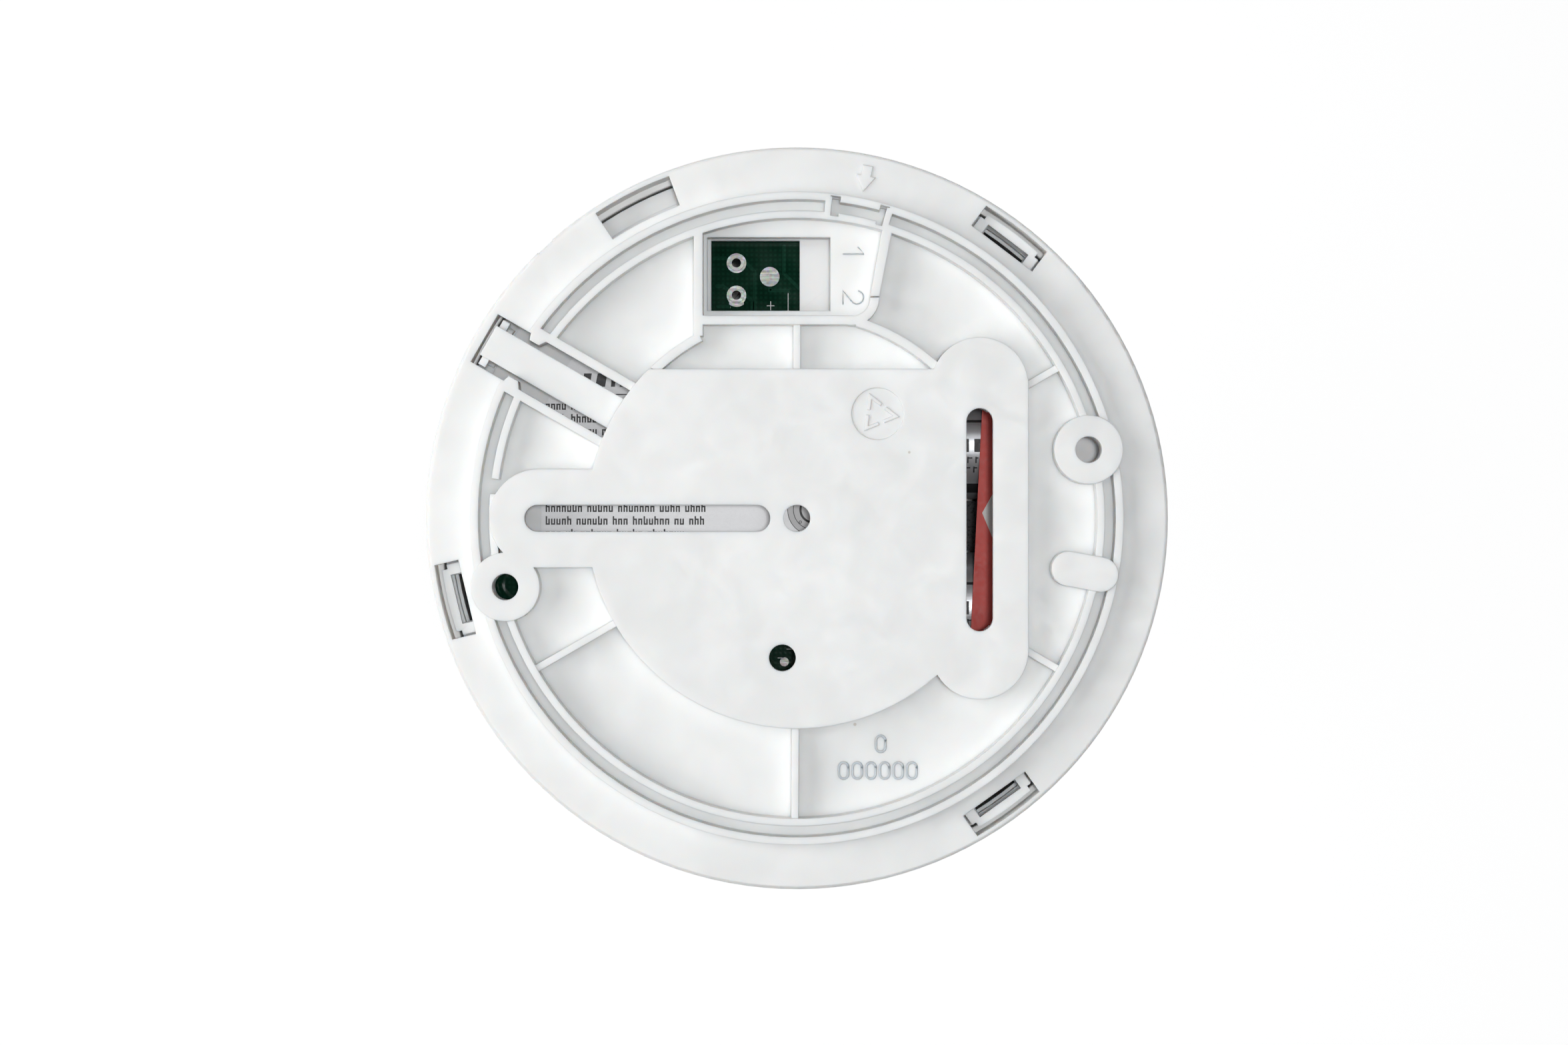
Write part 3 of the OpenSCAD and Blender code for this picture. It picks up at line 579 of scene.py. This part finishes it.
labelPrint = {
    "left": -39.2,        # where the lines start
    "capHeight": 1.34,
    "pitch": 2.0,
    "firstBase": -15.0,   # the lowest line's base
    "stroke": 0.23,
    "letter": 0.84,       # from one upright to the next letter's
    "thickness": 0.02,
    "sunk": 0.01,         # how far the print reaches into the paper
    "fullLine": 42.0,
    "lineShares": [0.35, 0.9, 0.62, 0.66, 0.8, 0.45, 0.53, 0.6, 0.64, 0.68, 0.5, 0.85, 0.7, 0.6,
                   0.8, 0.4, 0.6],
    "ringCentre": (2.57, 1.36),
    "ringAngles": (68, 292),
    "rings": [(2.0, 0.34), (3.1, 0.10), (4.0, 0.10)],   # radius and width
    "ringRoom": 5.0,      # lines this near the rings' middle end early
    "shortRight": -12.4,
    "tintRadius": 4.0,
    "dot": (0.55, -0.59, 0.19, 0.09),   # its centre, radius and width
    "headingLeft": -33.6,
    "headingLevels": (20.6, 22.7),
    "headingBlocks": [1.5, 1.9, 0.8, 1.7, 1.6, 2.0, 1.2, 1.8],
    "headingGap": 0.55,
    "rule": ((-38.4, 19.4), (3.4, 19.4), 0.18),
}


# a word's worth of plain uprights, joined in twos, which stand for small print
def addGreekWord(mesh, x, base, letters, cap, stroke, advance, low, high, draw):
    body = cap * 0.72
    for i in range(letters):
        left = x + i * advance
        tall = cap if draw.random() < 0.25 else body
        addBar(mesh, (left, base), (left, base + tall), stroke, low, high)
        addBar(mesh, (left + advance * 0.5, base), (left + advance * 0.5, base + body),
               stroke, low, high)
        level = body - stroke / 2 if draw.random() < 0.6 else stroke / 2
        addBar(mesh, (left, base + level), (left + advance * 0.5, base + level), stroke,
               low + 0.001, high + 0.001)


def addGreekLine(mesh, x, base, right, cap, stroke, advance, low, high, draw):
    while x + 2 * advance < right:
        letters = min(draw.randint(2, 8), int((right - x) / advance))
        width = letters * advance
        addGreekWord(mesh, x, base, letters, cap, stroke, advance, low, high, draw)
        x += width + advance * 0.75


def makeLabelPrint():
    look = labelPrint
    draw = random.Random(11)
    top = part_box("rating_label")[1].z / mm
    low, high = top - look["sunk"], top + look["thickness"]
    small = bmesh.new()
    for row, share in enumerate(look["lineShares"]):
        base = look["firstBase"] + row * look["pitch"]
        right = look["left"] + look["fullLine"] * share
        if abs(base - look["ringCentre"][1] + 0.5) < look["ringRoom"]:
            right = min(right, look["shortRight"])
        addGreekLine(small, look["left"], base, right, look["capHeight"], look["stroke"],
                     look["letter"], low, high, draw)
    finishMesh("labelSmallPrint", "detector_head", small, "blackInk")
    heading = bmesh.new()
    x = look["headingLeft"]
    foot, head = look["headingLevels"]
    for width in look["headingBlocks"]:
        addPrism(heading, [(x, foot), (x + width * 0.8, foot), (x + width, head),
                           (x + width * 0.2, head)], low, high)
        x += width + look["headingGap"]
    addBar(heading, *look["rule"], low, high)
    finishMesh("labelHeading", "detector_head", heading, "blackInk")
    tint = bmesh.new()
    addPrism(tint, arcPoints(look["ringCentre"], look["tintRadius"], 60, 290, 60), low - 0.004,
             low + 0.014)
    finishMesh("labelTint", "detector_head", tint, "greyInk")
    rings = bmesh.new()
    for radius, width in look["rings"]:   # each lies a little higher than the one inside it
        addArc(rings, look["ringCentre"], radius, width, *look["ringAngles"], low,
               high + 0.002 * radius)
    x, y, radius, width = look["dot"]
    addArc(rings, (x, y), radius, width, 0, 360, low, high + 0.02, 20)
    finishMesh("labelRings", "detector_head", rings, "blackInk")


makeLabelPrint()
print("label printed")


sleevePrint = {   # lengths in mm along the cell, angles in degrees from its top
    "proud": 0.03,
    "bands": [(24, 27), (-62, -46)],
    "bandInset": 3,
    "markRow": (-8, 6),
    "markSizes": (1.2, 2.2),
    "markGap": 0.5,
    "smallRows": (-20, -31),
    "smallSizes": (0.5, 1.1),
    "smallGap": 0.25,
    "rowInset": 4,
}
strapArrow = {
    "outline": [(29.1, 0.85), (31.4, 5.0), (31.5, 2.3), (37.5, 2.6), (37.3, -1.9), (31.3, -1.6),
                (31.2, -4.2)],
    "sunk": 0.01, "proud": 0.02,
}


# a thin patch that lies on a cell's round side: its own length along X, and angles from the top
def addSleevePatch(mesh, axis, radius, x0, x1, angle0, angle1, proud):
    steps = max(2, int(abs(angle1 - angle0) / 4))
    rings = []
    for x in (x0, x1):
        for r in (radius - proud, radius + proud):
            rings.append([mesh.verts.new((x * mm, (axis[0] + r * math.sin(math.radians(a))) * mm,
                                          (axis[1] + r * math.cos(math.radians(a))) * mm))
                          for a in [angle0 + (angle1 - angle0) * i / steps
                                    for i in range(steps + 1)]])
    lowA, highA, lowB, highB = rings
    for i in range(steps):
        mesh.faces.new((highA[i], highA[i + 1], highB[i + 1], highB[i]))
        mesh.faces.new((lowA[i + 1], lowA[i], lowB[i], lowB[i + 1]))
        mesh.faces.new((lowA[i], lowA[i + 1], highA[i + 1], highA[i]))
        mesh.faces.new((lowB[i + 1], lowB[i], highB[i], highB[i + 1]))
    for i, k in ((0, 1), (steps, -1)):
        corners = (lowA[i], highA[i], highB[i], lowB[i])
        mesh.faces.new(corners[::k])


def makeCellPrint(name, node):
    look = sleevePrint
    low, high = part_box(node)
    axis = ((low.y + high.y) / 2 / mm, (low.z + high.z) / 2 / mm)
    radius = (high.z - low.z) / 2 / mm
    left, right = low.x / mm, high.x / mm
    draw = random.Random(5)
    marks = bmesh.new()
    proud = look["proud"]
    for angle0, angle1 in look["bands"]:
        addSleevePatch(marks, axis, radius, left + look["bandInset"], right - look["bandInset"],
                       angle0, angle1, proud)
    x = left + look["rowInset"]
    while x < right - 6:
        size = draw.uniform(*look["markSizes"])
        addSleevePatch(marks, axis, radius, x, x + size * 0.72, *look["markRow"], proud)
        x += size + look["markGap"]
    for rowAngle in look["smallRows"]:
        x = left + look["rowInset"]
        while x < right - look["rowInset"]:
            size = draw.uniform(*look["smallSizes"])
            addSleevePatch(marks, axis, radius, x, x + 0.22, rowAngle, rowAngle + 7, proud)
            addSleevePatch(marks, axis, radius, x + 0.22, x + size * 0.8, rowAngle + 5,
                           rowAngle + 6.4, proud)
            x += size + look["smallGap"]
    finishMesh(name, "detector_head", marks, "blackInk")


def makeStrapArrow():
    arrow = bmesh.new()
    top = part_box("cell_strap")[1].z / mm
    addPrism(arrow, strapArrow["outline"], top - strapArrow["sunk"], top + strapArrow["proud"])
    finishMesh("strapArrow", "detector_head", arrow, "whiteInk")


makeCellPrint("cellPrintUpper", "cell_positive_up")
makeCellPrint("cellPrintLower", "cell_positive_down")
makeStrapArrow()
print("cells and strap printed")


boardTracks = {
    "width": 0.55,
    "proud": 0.035,
    "routes": [   # each is a track's corners, in mm
        [(-13.0, 41.0), (-11.2, 41.0)],
        [(-12.6, 36.6), (-11.6, 36.6), (-10.6, 35.8)],
        [(-7.9, 40.2), (-6.6, 38.9), (-6.6, 31.9)],
        [(-7.9, 35.1), (-7.0, 34.2), (-7.0, 31.9)],
        [(-4.25, 36.4), (-4.25, 35.9), (-1.4, 35.9)],
        [(-2.0, 42.9), (-2.0, 38.6), (0.6, 36.0)],
        [(-12.4, 33.4), (-10.6, 33.4)],
    ],
    "legend": [   # a bar's two ends, its width and how proud it stands
        ((-1.35, 35.5), (-1.35, 31.9), 0.12, 0.03),
        ((-4.1, 34.2), (-4.1, 32.8), 0.13, 0.045),
        ((-4.7, 33.5), (-3.5, 33.5), 0.13, 0.046),
        ((-3.0, -22.0), (-2.2, -22.0), 0.12, 0.03),
        ((-1.6, -20.6), (-0.8, -20.6), 0.12, 0.03),
    ],
}


def makeBoardMarks():
    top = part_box("main_pcb")[1].z / mm
    tracks = bmesh.new()
    width, high = boardTracks["width"], top + boardTracks["proud"]
    for route in boardTracks["routes"]:
        for start, end in zip(route, route[1:]):
            addBar(tracks, start, end, width, top - 0.01, high)
        for corner in route:
            addPrism(tracks, arcPoints(corner, width / 2, 0, 340, 17), top - 0.012, high - 0.002)
    finishMesh("boardTracks", "detector_head", tracks, "traceGreen")
    legend = bmesh.new()
    for start, end, width, proud in boardTracks["legend"]:
        addBar(legend, start, end, width, top - 0.01, top + proud)
    finishMesh("boardLegend", "detector_head", legend, "greyInk")


makeBoardMarks()
print("board marked")


raisedMarks = {   # wires laid into the floor: radius, and how deep their middle lies
    "numeralWire": 0.12, "numeralSunk": 0.06, "numeralHeight": 3.2, "numeralWidth": 2.05,
    "terminalPlaces": [("1", 8.8, 41.0), ("2", 8.75, 34.27)],
    "loopWire": 0.27, "loopSunk": 0.19, "loopHeight": 2.5, "loopWidth": 1.45,
    "loopPlaces": [(13.0, -35.0)] + [(7.25 + 2.12 * i, -39.15) for i in range(6)],
}


# the strokes of a plain numeral in a box one high, with its foot at 0
def numeralStrokes(numeral, width):
    half = width / 2
    if numeral == "1":
        return [[(-half, 0.72), (0.0, 1.0), (0.0, 0.0)]]
    bowl = arcPoints((0.0, 1.0 - half), half, 165, -35, 14)
    return [bowl + [(-half, 0.0), (half, 0.0)]]


# a plain upright loop, as the mould's blank date and cavity marks have
def loopPoints(x, y, width, height):
    half, rise = width / 2, (height - width) / 2
    top = arcPoints((x, y + rise), half, 0, 180, 10)
    return top + arcPoints((x, y - rise), half, 180, 360, 10) + [(x + half, y + rise * 0.9)]


def makeRaisedMarks():
    look = raisedMarks
    marks = bmesh.new()
    height = look["numeralHeight"]
    level = plateLevels["floor"] - look["numeralSunk"]
    for numeral, x, y in look["terminalPlaces"]:
        for stroke in numeralStrokes(numeral, look["numeralWidth"] / height):
            points = [(x - height / 2 + v * height, y - u * height, level) for u, v in stroke]
            addWire(marks, points, look["numeralWire"], 10)
    level = plateLevels["floor"] - look["loopSunk"]
    for x, y in look["loopPlaces"]:
        points = loopPoints(x, y, look["loopWidth"], look["loopHeight"])
        addWire(marks, [(u, v, level) for u, v in points], look["loopWire"], 12)
    finishMesh("raisedMarks", "base_plate", marks, "platePlastic", 60)


makeRaisedMarks()
print("raised marks made")


springs = {   # sizes in mm, ends as shares of the wire's radius
    "buttonRadius": 3.0, "buttonWire": 0.3, "buttonTurns": 6, "buttonTravel": 0.8,
    "sounderRadius": 1.32, "sounderWire": 0.22, "sounderTurns": 9,
    "sounderPlaces": [(0, 0), (0, 11.2), (-6.6, 2.4)],   # from the sounder's middle
    "discRadius": 9.5, "discHeight": 0.2,   # springs inside this radius stand on the ceramic
    "stepsPerTurn": 20,
    "groundTurns": 0.8,   # how much of a turn lies flat at each end
    "endInset": 3.2, "endSeat": 1.995,
}


# the first and last turn lie flat, as on a ground compression spring
def coilPoints(centre, radius, wire, low, high, turns):
    total = turns * springs["stepsPerTurn"]
    flat = springs["groundTurns"] / turns
    inset, seat = springs["endInset"] * wire, springs["endSeat"] * wire
    points = []
    for i in range(total + 1):
        share = i / total
        rise = min(max((share - flat) / (1 - 2 * flat), 0.0), 1.0)
        near = min(share, 1 - share) / flat
        side = -1 if share < 0.5 else 1
        a = 2 * math.pi * turns * share
        z = low + inset + (high - low - 2 * inset) * rise + side * seat * (1 - min(near, 1.0))
        points.append((centre[0] + radius * math.cos(a), centre[1] + radius * math.sin(a), z))
    return points


def makeSprings():
    low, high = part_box("button_spring")
    centre = ((low.x + high.x) / 2 / mm, (low.y + high.y) / 2 / mm)
    coil = bmesh.new()
    addWire(coil, coilPoints(centre, springs["buttonRadius"], springs["buttonWire"], low.z / mm,
                             high.z / mm, springs["buttonTurns"]), springs["buttonWire"], 10)
    piece = finishMesh("buttonCoil", "detector_head", coil, "springSteel", 80)
    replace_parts(piece, "button_spring")
    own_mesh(piece)
    low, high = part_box("sounder_springs")
    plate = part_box("sounder_plate")
    middle = ((plate[0].x + plate[1].x) / 2 / mm, (plate[0].y + plate[1].y) / 2 / mm)
    coils = bmesh.new()
    for dx, dy in springs["sounderPlaces"]:
        onDisc = math.hypot(dx, dy) < springs["discRadius"]
        foot = low.z / mm + (springs["discHeight"] if onDisc else 0.0)
        addWire(coils, coilPoints((middle[0] + dx, middle[1] + dy), springs["sounderRadius"],
                                  springs["sounderWire"], foot, high.z / mm,
                                  springs["sounderTurns"]), springs["sounderWire"], 8)
    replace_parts(finishMesh("sounderCoils", "detector_head", coils, "springSteel",
                           80), "sounder_springs")


makeSprings()
print("springs coiled")


studio = {
    "floorDrop": 1.0,        # metres below the ceiling plane
    "floorSize": 14.0,
    "floorGlow": 0.64,
    "airLevel": 0.19,        # the walls' brightness
    "ceilingShare": 0.15,    # and the ceiling's beside it
    "lamps": {               # place, size in metres, watts, colour
        "keyLamp": ((-0.75, 0.03, 0.56), (0.86, 0.80), 6.2, (1.0, 0.998, 0.99)),
        "axisLamp": ((0.07, 0.015, 1.5), (0.12, 0.12), 6.7, (0.98, 0.99, 1.0)),
        "westLamp": ((-0.31, 0.0, 1.5), (0.24, 0.24), 1.1, (0.98, 0.99, 1.0)),
        "eastLamp": ((0.30, -0.03, 1.5), (0.24, 0.24), 0.7, (0.97, 0.99, 1.0)),
        "southLamp": ((0.0, -0.30, 1.5), (0.24, 0.24), 1.1, (0.97, 0.99, 1.0)),
        "northLamp": ((0.0, 0.38, 1.5), (0.24, 0.24), 1.1, (0.97, 0.99, 1.0)),
        "frontLamp": ((-0.5, -0.9, -0.8), (1.0, 1.0), 1.2, (1.0, 1.0, 1.0)),
    },
    "aim": (0.0, 0.0, -0.01),
}
cameraSetup = {
    "centre": (-2.0, -0.65),   # mm, what it looks at
    "distance": 600.0,         # mm from the rim's face
    "wide": 242.8,             # mm of the rim's plane across the frame
    "sensor": 36.0,
}


def makeFloor():
    half = studio["floorSize"] / 2
    sheet = bmesh.new()
    steps = 8
    grid = [[sheet.verts.new((half * (2 * i / steps - 1), half * (2 * j / steps - 1),
                              -studio["floorDrop"])) for j in range(steps + 1)]
            for i in range(steps + 1)]
    for i in range(steps):
        for j in range(steps):
            sheet.faces.new((grid[i][j], grid[i + 1][j], grid[i + 1][j + 1], grid[i][j + 1]))
    material, tree, shader = startMaterial("floorPaint")
    where = place(tree)
    tone = noise(tree, where, 3.0, 3.0)
    feed(tree, shader, colour=blend(tree, tone, (0.90, 0.90, 0.90), (0.93, 0.93, 0.93)),
         rough=span(tree, tone, 0.3, 0.7, 0.8, 0.9))
    shader.inputs["Emission Color"].default_value = (1.0, 1.0, 1.0, 1.0)
    shader.inputs["Emission Strength"].default_value = studio["floorGlow"]
    data = bpy.data.meshes.new("floor")
    sheet.to_mesh(data)
    sheet.free()
    data.materials.append(material)
    floor = bpy.data.objects.new("floor", data)
    bpy.context.scene.collection.objects.link(floor)


def makeLamps():
    for name, (spot, size, power, tint) in studio["lamps"].items():
        data = bpy.data.lights.new(name, "AREA")
        data.shape = "ELLIPSE"
        data.size, data.size_y = size
        data.energy = power
        data.color = tint
        lamp = bpy.data.objects.new(name, data)
        lamp.location = spot
        lamp.rotation_mode = "QUATERNION"
        lamp.rotation_quaternion = (Vector(studio["aim"]) - Vector(spot)).to_track_quat("-Z", "Y")
        bpy.context.scene.collection.objects.link(lamp)
    world = bpy.data.worlds.new("studioAir")
    world.use_nodes = True
    tree = world.node_tree
    height = addNode(tree, "ShaderNodeSeparateXYZ", inputs={0: skyward(tree)}).outputs[2]
    level = span(tree, height, 0.25, 0.85, 1.0, studio["ceilingShare"])
    back = tree.nodes["Background"]
    tree.links.new(blend(tree, level, (0.0, 0.0, 0.0), (0.985, 0.992, 1.0)), back.inputs["Color"])
    back.inputs["Strength"].default_value = studio["airLevel"]
    bpy.context.scene.world = world


def makeCamera():
    data = bpy.data.cameras.new("camera")
    data.sensor_width = cameraSetup["sensor"]
    data.lens = cameraSetup["sensor"] * cameraSetup["distance"] / cameraSetup["wide"]
    data.clip_start, data.clip_end = 0.05, 20.0
    camera = bpy.data.objects.new("camera", data)
    x, y = cameraSetup["centre"]
    camera.location = (x * mm, y * mm, (cameraSetup["distance"] + plateLevels["rim"]) * mm)
    camera.rotation_euler = (0.0, 0.0, 0.0)
    bpy.context.scene.collection.objects.link(camera)
    bpy.context.scene.camera = camera


makeFloor()
makeLamps()
makeCamera()
bpy.context.scene.view_settings.view_transform = "Standard"
print("studio set up")
